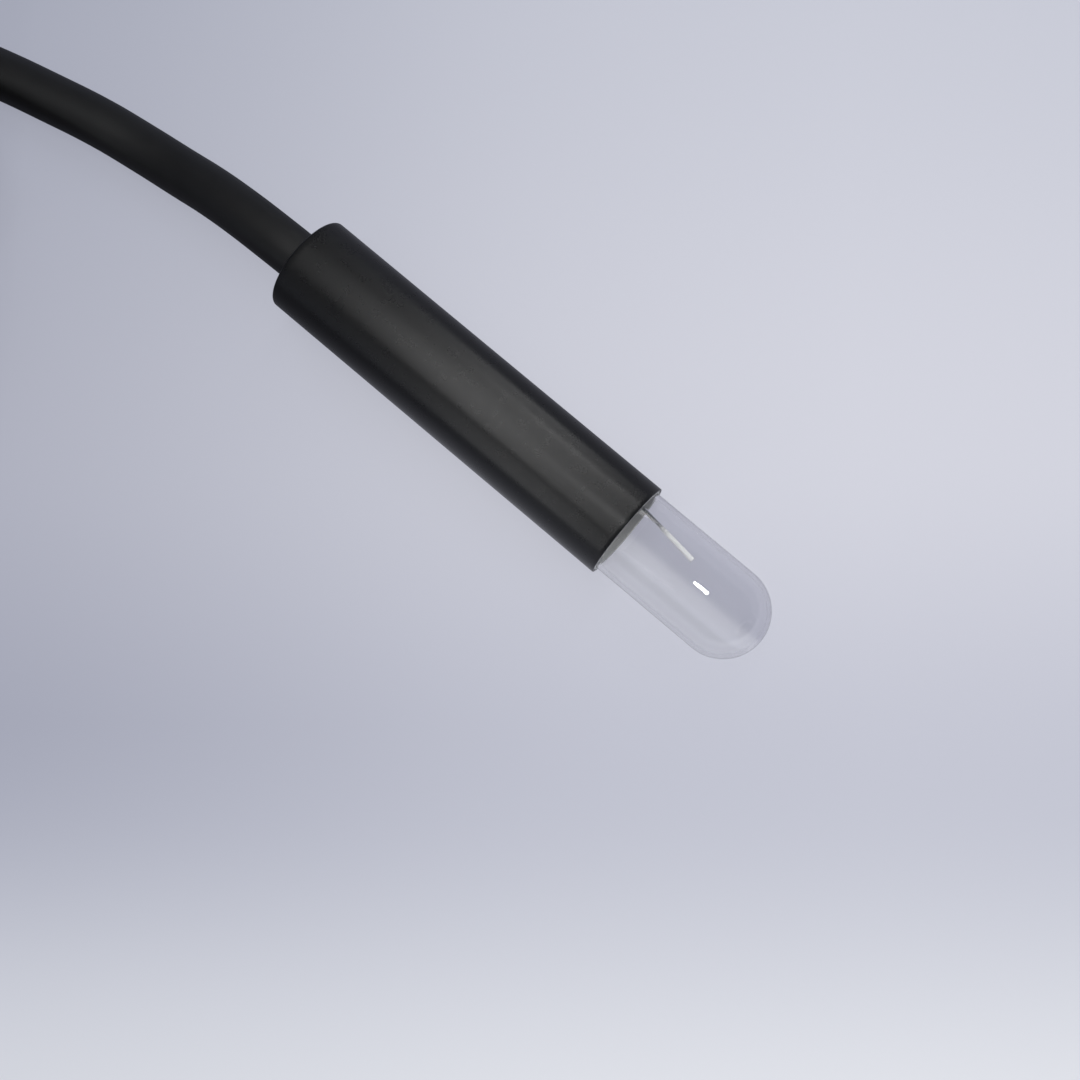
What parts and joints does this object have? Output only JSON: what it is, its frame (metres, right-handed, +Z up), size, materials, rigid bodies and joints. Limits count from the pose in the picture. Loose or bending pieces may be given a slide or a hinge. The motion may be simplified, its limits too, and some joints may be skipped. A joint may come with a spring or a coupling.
{
  "type": "ph electrode",
  "caption": "Laboratory pH electrode: black sleeve, clear glass bulb with a silver wire, and a black lead wound in a coil that ends in a bayonet plug.",
  "frame": {"origin": "on the surface the electrode lies on, under the middle of its sleeve and glass", "axes": "+X along the electrode towards its glass tip, +Z up"},
  "size_m": [0.2036, 0.062, 0.0145],
  "materials": {
    "sleeve_plastic": "satin black moulded plastic",
    "junction_ceramic": "grey porous ceramic",
    "bulb_glass": "clear blown glass",
    "clear_gel": "clear gelled solution",
    "silver_wire": "polished silver",
    "stopper_rubber": "grey silicone",
    "reference_gel": "cloudy gel",
    "bulkhead_plastic": "grey plastic",
    "seal_rubber": "black rubber",
    "joint_brass": "tinned brass",
    "copper_wire": "bare copper",
    "white_plastic": "white insulation",
    "clamp_steel": "plain steel",
    "potting_resin": "dark cast resin",
    "lead_jacket": "satin black cable jacket",
    "tie_strap": "black hook-and-loop strap",
    "boot_rubber": "matt black rubber",
    "plug_nickel": "nickel plating",
    "contact_gold": "thin gold plating",
    "insulator_white": "white insulator",
    "gasket_silicone": "red silicone",
    "washer_steel": "spring steel"
  },
  "bodies": {
    "electrode": {"sleeve": "sleeve_plastic", "junction_ring": "junction_ceramic", "glass_bulb": "bulb_glass", "fill_solution": "clear_gel", "measuring_wire": "silver_wire", "bulb_stopper": "stopper_rubber", "reference_gel": "reference_gel", "reference_wire": "silver_wire", "chamber_bulkhead": "bulkhead_plastic", "bulkhead_o_ring": "seal_rubber", "stem_o_ring": "seal_rubber", "wire_joint": "joint_brass", "core_wire": "copper_wire", "core_insulation": "white_plastic", "shield_pigtail": "copper_wire", "reference_joint": "joint_brass", "cable_clamp": "clamp_steel", "potting": "potting_resin", "lead_run": "lead_jacket", "lead_coil": "lead_jacket", "lead_tail": "lead_jacket", "coil_tie": "tie_strap", "plug_boot": "boot_rubber", "crimp_ferrule": "plug_nickel", "plug_body": "plug_nickel", "contact_sleeve": "contact_gold", "insulator": "insulator_white", "centre_pin": "contact_gold", "plug_core_insulation": "white_plastic", "plug_core_wire": "copper_wire", "plug_gasket": "gasket_silicone", "spring_washer": "washer_steel", "retaining_ring": "washer_steel"},
    "thrust_washer": {"thrust_washer": "washer_steel"},
    "coupling_nut": {"coupling_nut": "plug_nickel"}
  },
  "joints": [
    {"name": "nut_float", "type": "slide", "parent": "electrode", "child": "thrust_washer", "axis": [1, 0, 0], "range_m": [0, 0.0006], "stiffness_N_per_m": 1500, "springref_m": -0.0005, "deforming": ["spring_washer"]},
    {"name": "nut_spin", "type": "hinge", "parent": "thrust_washer", "child": "coupling_nut", "pos_m": [-0.098, -0.0345, 0.00725], "axis": [1, 0, 0], "continuous": true}
  ]
}
